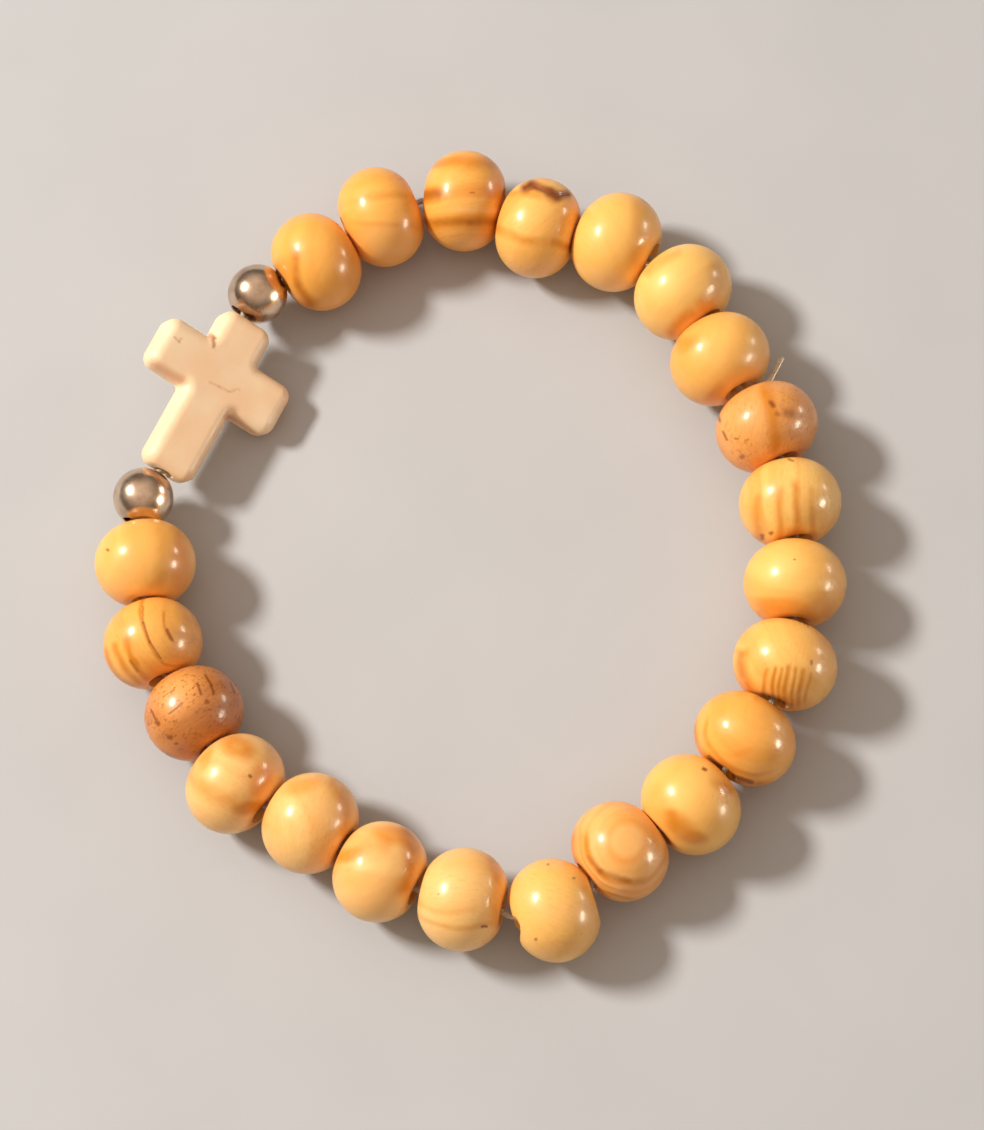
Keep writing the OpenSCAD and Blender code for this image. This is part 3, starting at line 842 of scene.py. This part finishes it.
def varnished(node, radius):
    """The varnished wood of one bead: rings about the middle of its growth and clouds in its two tones, then
    faint fibres, its patches, pores, bands and dashes, and the relief of its skin."""
    number = int(node[-2:])
    tone, deep, ring_at, rings, strength, fibres, flecked = GRAIN[node]
    material, shader, place = finish(node + "_wood", coat_roughness=0.17, specular_ior_level=0.35)
    axes = seen_axes(node)
    seen = place.turned(middle[node], axes, (radius,) * 3)
    waves = {"Vector": place, "Scale": WANDERING / radius, "Detail": 1.0}
    wander = seen.node("TexNoise", {}, waves, output=1)
    shifts = {0: wander, 1: (WANDER,) * 3, 2: seen}
    bent = seen.node("VectorMath", {"operation": "MULTIPLY_ADD"}, shifts)
    x, y, z = bent.axes()
    x, y = x - WANDER / 2, y - WANDER / 2
    top = z.step(0.0, TOP_FADE)

    c, s = cos(radians(fibres)), sin(radians(fibres))
    fibre_axes = np.array([[c, s, 0], [-s, c, 0], [0, 0, 1]]) @ axes
    fibre_size = (radius * FIBRE_LONG, radius, radius * FIBRE_DEEP)
    fibre = place.turned((0, 0, 0), fibre_axes, fibre_size).noise(FIBRES, detail=3.0, roughness=0.6)
    cloud = place.noise(CLOUDS / radius)
    away = ((x - ring_at[0]) * (x - ring_at[0]) + (y - ring_at[1]) * (y - ring_at[1])) ** 0.5
    ring = away.node(
        "TexNoise",
        {"noise_dimensions": "1D"},
        {"W": away * rings + number * RING_SHIFT, "Scale": 1.0, "Detail": 2.0, "Roughness": 0.45},
    )
    clouded = cloud.step(0.35, 0.70) * CLOUD_SHARE * strength
    colour = (clouded + ring.step(0.38, 0.72) * strength).between(tone, deep)
    colour = (fibre.step(0.45, 0.80) * (FIBRE_SHARE + FLECKED_SHARE * flecked)).between(colour, BROWN)

    worn = place.noise(WEAR / radius, detail=3.0, roughness=0.6)
    # Patches: stains and tone, and some painted shade on the side away from the key light
    for bead, at, long, wide, turn, patch_tone, share in PATCHES:
        if bead == number:
            mask = patch_mask(x, y, at, long, wide, turn) * top
            colour = (mask * (worn * PATCH_WORN + PATCH_ALWAYS) * share).between(colour, patch_tone)
    if flecked:
        fleck_size = (radius * FLECK_LONG, radius, radius)
        fleck = place.turned((0, 0, 0), fibre_axes, fleck_size).noise(FLECKS, detail=3.0, roughness=0.65)
        colour = (fleck.step(0.50, 0.66) * worn.step(0.35, 0.55) * flecked).between(colour, FLECK)
    # Bands: rings and stains, and some painted shade on the side away from the key light
    for bead, start, over, end, spread, dark in BANDS:
        if bead == number:
            mask = band_mask(x, y, start, over, end, spread)
            strong = worn.step(0.25, 0.6) * BAND_WORN + BAND_ALWAYS
            colour = (mask * strong * dark).between(colour, BURNT)
    ragged = place.noise(RAGGED_EDGES / radius) * RAGGED - RAGGED / 2
    x, y, z = seen.axes()
    x, y = x + ragged, y - ragged
    for bead, start, end, spread, dark in DASHES:
        if bead == number:
            mask = dash_mask(x, y, start, end, spread) * top
            colour = (mask * dark).between(colour, DARK)

    height = fibre * FIBRE_RELIEF * MM + place.noise(UNDULATION / radius) * SOFT_RELIEF * MM
    for bead, at, reach in SCUFFS:
        if bead == number:
            mask = patch_mask(x, y, at, reach, reach, 0) * top
            grain = place.noise(SCUFF_GRAIN / radius, roughness=0.6)
            height = height + mask * grain * SCUFF_RELIEF * MM
    feed(
        shader,
        base_color=colour,
        roughness=worn * ROUGH_WORN + ROUGH_ALWAYS,
        coat_weight=worn.step(0.75, 0.3) * COAT_FRESH + COAT_ALWAYS,
        height=height,
    )
    return material


# One bead has a crack and one is chipped at its last end. The crack's points are x, y in bead radii as seen,
# and MOUTH_MARGIN keeps it that many of the countersink's radii away from the axis.
CRACKED = "wood_bead_04"
CRACK = [(-0.25, 0.79), (-0.12, 0.86), (0.25, 0.69), (0.60, 0.66)]
CRACK_HALF_WIDTH = 0.25 * MM
CRACK_DEEP = 0.22 * MM
MOUTH_MARGIN = 1.1
CHIPPED = "wood_bead_15"
CHIP_R = 1.6 * MM
CHIP_DEEP = 0.4 * MM
CHIP_ASIDE = 0.9 * MM


def cracked(grid, node, radius):
    """Sinks a bead's skin along a row of points as seen: by CRACK_DEEP in the middle of the crack, rising as
    a cosine to nothing at its edges, and only on the side that is seen."""
    right, up, forward = seen_axes(node)
    off = grid - middle[node]
    x, y, z = off @ right, off @ up, off @ forward
    sink = np.zeros(x.shape)
    for start, end in zip(CRACK, CRACK[1:]):
        ax, ay, bx, by = (radius * value for value in (*start, *end))
        run, rise = bx - ax, by - ay
        share = np.clip(((x - ax) * run + (y - ay) * rise) / (run**2 + rise**2), 0, 1)
        near = np.hypot(x - ax - share * run, y - ay - share * rise)
        sink = np.maximum(sink, 0.5 + 0.5 * np.cos(pi * np.clip(near / CRACK_HALF_WIDTH, 0, 1)))
    from_axis = np.linalg.norm(off - (off @ along[node])[..., None] * along[node], axis=-1)
    deep = CRACK_DEEP * sink * (from_axis > SINK_R * MOUTH_MARGIN) * (z > 0)
    return grid - deep[..., None] * off / np.linalg.norm(off, axis=-1)[..., None]


def chipped(grid, node):
    """Cuts a bead's last end back to a round scallop: no point lies further along than an arc of radius
    CHIP_R whose middle is CHIP_ASIDE to the left of the bore."""
    off = grid - middle[node]
    on, left = off @ along[node], off @ side_of(along[node])
    reach = np.clip(1 - ((left - CHIP_ASIDE) / CHIP_R) ** 2, 0, None) ** 0.5
    limit = half_long[node] + CHIP_R - CHIP_DEEP - CHIP_R * reach
    return grid - np.clip(on - limit, 0, None)[..., None] * along[node]


for node in WOODEN:
    radius = np.ptp(extent(node, UP)) / 2
    fine = 2 if node in (CRACKED, CHIPPED) else 1
    section = bead_section(radius, half_long[node])
    if fine == 2:
        section = np.repeat(section, 2, 0)
        section[1::2] = (section[1::2] + np.roll(section, -1, 0)[1::2]) / 2
    grid = turned_on(middle[node], along[node], section, AROUND * fine)
    phase = UNEVEN_PHASE * int(node[-2:])
    a = np.linspace(0, 2 * pi, AROUND * fine, endpoint=False)[None, :, None]
    on = (section[:, 1] / half_long[node])[:, None, None]
    wave = np.sin(2 * a + phase + UNEVEN_TWIST * on)
    uneven = SKIN_INSIDE + UNEVEN * (0.5 + 0.5 * wave) * (1 - on**2)
    axis_point = middle[node] + section[:, 1, None, None] * along[node]
    grid = axis_point + (grid - axis_point) * (1 - uneven)
    if node == CRACKED:
        grid = cracked(grid, node, radius)
    if node == CHIPPED:
        grid = chipped(grid, node)
    piece(node + "_turned", grid, varnished(node, radius), [node])

# The metal balls. Two small bored balls of polished, silver-coloured metal with a rounded lip at each mouth
# of the bore; the polish is slightly uneven, with hairline scratches.
BALL_BORE_R = 1.1 * MM
LIP_R = 0.12 * MM
BALL_BORE_STEPS = 8
LIP_STEPS = 8
GREAT_ARC_STEPS = 72
BALL_AROUND = 128
# A direction square to the hairlines, and their pattern's length, width and depth in metres
SCRATCHED_FROM = (0.3, 0.2, 1)
SCRATCH_SIZE = (0.02, 0.001, 0.004)
# Both tones of the balls are tinted warm brown: painted reflection of the orange beads and warm room
SILVER_AND_WARM_REFLECTION = (0.75, 0.58, 0.43, 1)
DULL_SILVER_AND_WARM_REFLECTION = (0.50, 0.34, 0.24, 1)


def ball_section(radius):
    """A ball's section: the bore's wall, a lip of radius LIP_R that touches both, and the great arc."""
    lip_x = BALL_BORE_R + LIP_R
    lip_turn = acos(lip_x / (radius - LIP_R))
    lip_y = (radius - LIP_R) * sin(lip_turn)
    wall = np.linspace(-lip_y, lip_y, BALL_BORE_STEPS)
    bore = np.stack([np.full(BALL_BORE_STEPS, BALL_BORE_R), wall], 1)[:-1]
    lip = arc(lip_x, lip_y, LIP_R, pi, lip_turn, LIP_STEPS)
    great = arc(0, 0, radius, lip_turn, -lip_turn, GREAT_ARC_STEPS)
    return np.concatenate([bore, lip, great, lip[::-1] * [1, -1]])


polished, polished_shader, polished_place = finish("polished_silver_metal", metallic=1.0)
scratch_axes = facing(unit(SCRATCHED_FROM))
scratches = polished_place.turned((0, 0, 0), scratch_axes, SCRATCH_SIZE).noise(3.0, detail=3.0)
feed(
    polished_shader,
    # painted warm reflection: the base colour wanders between the two warm-tinted tones
    base_color=polished_place.noise(500.0, detail=3.0).step(0.35, 0.70).between(SILVER_AND_WARM_REFLECTION, DULL_SILVER_AND_WARM_REFLECTION),
    roughness=polished_place.noise(900.0, detail=3.0) * 0.20 + 0.14,
    height=scratches * 0.002 * MM + polished_place.noise(650.0) * 0.02 * MM,
)
for node in ("metal_ball_upper", "metal_ball_lower"):
    grid = turned_on(middle[node], along[node], ball_section(half_long[node]), BALL_AROUND)
    piece(node + "_polished", grid, polished, [node])

# The cross. One piece of cream, howlite-like stone, sawn to a Latin cross, tumbled until its edges are round
# and drilled along its long bar. It hangs turned on the cord, with its inner side arm down on the table.
CROSS_LONG = 17.8 * MM
CROSS_WIDE = 14.8 * MM
ARM_WIDE = 5.6 * MM
ARM_AT = 6.6 * MM
STONE_THICK = 4.0 * MM
EDGE_R = 1.3 * MM
INNER_R = 0.45 * MM
CROSS_BORE_R = 1.0 * MM
CORNER_STEPS = 9
SIDE_STEPS = 12
EDGE_STEPS = 12
FACE_STEPS = 14
# Share of the cross's length that the drill reaches from its middle to each side, and the drill's sides
DRILL_REACH = 0.6
DRILL_SIDES = 32
ARM_REACH = CROSS_WIDE / 2 - EDGE_R
STONE_REACH = STONE_THICK / 2 - EDGE_R
CROSS_ROLL = asin((STRING_Z - EDGE_R) / hypot(ARM_REACH, STONE_REACH)) - atan2(STONE_REACH, ARM_REACH)
CROSSING = CROSS_LONG / 2 - ARM_AT

half_arm = ARM_WIDE / 2
quarter = [
    (CROSS_LONG / 2, half_arm, EDGE_R),
    (CROSSING + half_arm, half_arm, -INNER_R),
    (CROSSING + half_arm, CROSS_WIDE / 2, EDGE_R),
    (CROSSING - half_arm, CROSS_WIDE / 2, EDGE_R),
    (CROSSING - half_arm, half_arm, -INNER_R),
    (-CROSS_LONG / 2, half_arm, EDGE_R),
]
CORNERS = quarter + [(u, -v, r) for u, v, r in quarter[::-1]]


def cross_outline(corner_steps, side_steps):
    """The cross's outline and its outward directions: at each corner an arc of its radius, turned inwards
    where the radius is negative, and between the corners straight sides."""
    points, outwards = [], []
    corners = [np.array(c[:2]) for c in CORNERS]
    for k, (corner, (_, _, r)) in enumerate(zip(corners, CORNERS)):
        following = corners[(k + 1) % len(corners)]
        came = unit(corner - corners[k - 1])
        goes = unit(following - corner)
        a = np.linspace(0, pi / 2, corner_steps)[:, None]
        centre = corner - abs(r) * came + abs(r) * goes
        out = -goes * np.cos(a) + came * np.sin(a)
        sign = 1 if r > 0 else -1
        points.append(centre + abs(r) * out)
        outwards.append(sign * out)
        next_r = abs(CORNERS[(k + 1) % len(corners)][2])
        t = np.linspace(0, 1, side_steps + 2)[1:-1, None]
        points.append((corner + abs(r) * goes) * (1 - t) + (following - next_r * goes) * t)
        outwards.append(np.repeat(sign * out[-1:], side_steps, 0))
    return np.concatenate(points), np.concatenate(outwards)


def stone_cross_grid():
    """Rows run from the middle of the upper face over the rounded edge and the side to the middle of the
    lower face: the outline moves inwards by EDGE_R times 1 - sin of the edge's turn, and the faces shrink it
    to the crossing."""
    outline, outwards = cross_outline(CORNER_STEPS, SIDE_STEPS)
    turn = np.linspace(0, pi / 2, EDGE_STEPS)
    inset = EDGE_R * (1 - np.sin(turn))
    height = STONE_THICK / 2 - EDGE_R * (1 - np.cos(turn))
    shoulder = outline[None] - inset[:, None, None] * outwards
    shares = np.linspace(0, 1, FACE_STEPS, endpoint=False)[:, None, None]
    face = np.array([CROSSING, 0]) * (1 - shares) + shoulder[0] * shares
    flat = np.concatenate([face, shoulder])
    z = np.concatenate([np.full(len(face), STONE_THICK / 2), height])
    upper = np.concatenate([flat, np.broadcast_to(z[:, None, None], flat.shape[:2] + (1,))], 2)
    return np.concatenate([upper, upper[::-1] * [1, 1, -1]])


CREAM = (1.0, 0.77, 0.51, 1)
PALE_ROSE = (0.99, 0.68, 0.42, 1)
# A rust-brown for stains, and for the painted shade under the side arms
RUST_AND_UNDERSIDE_SHADE = (0.55, 0.20, 0.08, 1)
VEIN = (0.36, 0.15, 0.05, 1)

# Columns: where a vein, a stain or a patch of painted shade on the stone begins and ends (mm to the right and
# up from the cross's middle, as seen), how far it spreads to each side, its tone and how strong it is
STONE_MARKS = [
    ((-0.15, 6.40), (0.60, 5.95), 0.40, RUST_AND_UNDERSIDE_SHADE, 0.70),
    ((0.60, 5.95), (0.70, 5.00), 0.34, VEIN, 0.80),
    ((-3.20, 5.80), (-2.75, 5.35), 0.20, RUST_AND_UNDERSIDE_SHADE, 0.45),
    ((-2.75, 5.35), (-2.55, 5.75), 0.18, RUST_AND_UNDERSIDE_SHADE, 0.35),
    ((0.40, 1.45), (1.30, 1.10), 0.22, RUST_AND_UNDERSIDE_SHADE, 0.28),
    ((1.30, 1.10), (2.30, 0.60), 0.24, RUST_AND_UNDERSIDE_SHADE, 0.30),
    ((2.30, 0.60), (3.30, 0.85), 0.22, RUST_AND_UNDERSIDE_SHADE, 0.28),
    # Painted shade: the last two rows darken the lower sides of the side arms, away from the key light
    ((-5.20, 3.00), (-2.40, 1.50), 0.90, RUST_AND_UNDERSIDE_SHADE, 0.55),
    ((2.30, -1.95), (4.80, -3.60), 0.80, RUST_AND_UNDERSIDE_SHADE, 0.55),
]

# Over what width, in mm, the edges of marks are ragged, and how thin and how strong the fine veins are
STONE_RAGGED = 0.5
VEIN_WIDE = 0.012
VEIN_SHARE = 0.3

stone, stone_shader, stone_place = finish(
    "cream_stone", coat_weight=0.15, coat_roughness=0.35, subsurface_weight=0.06, subsurface_scale=0.002
)
u_axis = along["stone_cross"]
v_axis = cos(CROSS_ROLL) * side_of(u_axis) + sin(CROSS_ROLL) * UP
stone_axes = np.array([u_axis, v_axis, np.cross(u_axis, v_axis)])
stone_seen = stone_place.turned(middle["stone_cross"], seen_axes("stone_cross"), (MM, MM, MM))
stone_x, stone_y, stone_z = stone_seen.axes()
ragged = stone_place.noise(1800.0) * STONE_RAGGED - STONE_RAGGED / 2
stone_colour = stone_place.noise(220.0, detail=3.0).step(0.35, 0.7).between(CREAM, PALE_ROSE)
vein_lines = abs(stone_place.noise(200.0, detail=4.0, roughness=0.6) - 0.5).step(VEIN_WIDE, 0.0)
veins = vein_lines * stone_place.noise(150.0).step(0.60, 0.70)
stone_colour = (veins * VEIN_SHARE).between(stone_colour, VEIN)
# Veins and stains, and the painted shade under the side arms, on the seen side
for start, end, spread, mark, share in STONE_MARKS:
    mask = dash_mask(stone_x + ragged, stone_y - ragged, start, end, spread) * stone_z.step(-2.0, 0.0)
    stone_colour = (mask * share).between(stone_colour, mark)
feed(
    stone_shader,
    base_color=stone_colour,
    roughness=stone_place.noise(700.0, detail=3.0) * 0.25 + 0.33,
    height=stone_place.noise(420.0, detail=3.0) * 0.05 * MM - veins * 0.02 * MM,
)
cross_grid = middle["stone_cross"] + stone_cross_grid() @ stone_axes
stone_cross = piece("stone_cross_tumbled", cross_grid, stone, ["stone_cross"], loop=False)

drill_ends = np.array([[-DRILL_REACH], [DRILL_REACH]]) * CROSS_LONG
bore_path = middle["stone_cross"] + drill_ends * u_axis
bore_tube = tube(bore_path, CROSS_BORE_R, DRILL_SIDES, np.broadcast_to(UP, bore_path.shape), closed=False)
drill_mesh = bpy.data.meshes.new("drill")
first = np.arange(DRILL_SIDES)
second = (first + 1) % DRILL_SIDES
sides = np.stack([first, second, DRILL_SIDES + second, DRILL_SIDES + first], 1)
ends = [first[::-1].tolist(), (DRILL_SIDES + first).tolist()]
drill_mesh.from_pydata(bore_tube.reshape(-1, 3), [], [*sides.tolist(), *ends])
drill = bpy.data.objects.new("drill", drill_mesh)
bpy.context.scene.collection.objects.link(drill)
cut = stone_cross.modifiers.new("bore", "BOOLEAN")
cut.operation = "DIFFERENCE"
cut.object = drill
cut.solver = "EXACT"
bpy.context.view_layer.update()
drilled = bpy.data.meshes.new_from_object(stone_cross.evaluated_get(bpy.context.evaluated_depsgraph_get()))
stone_cross.modifiers.clear()
stone_cross.data = drilled
bpy.data.objects.remove(drill)
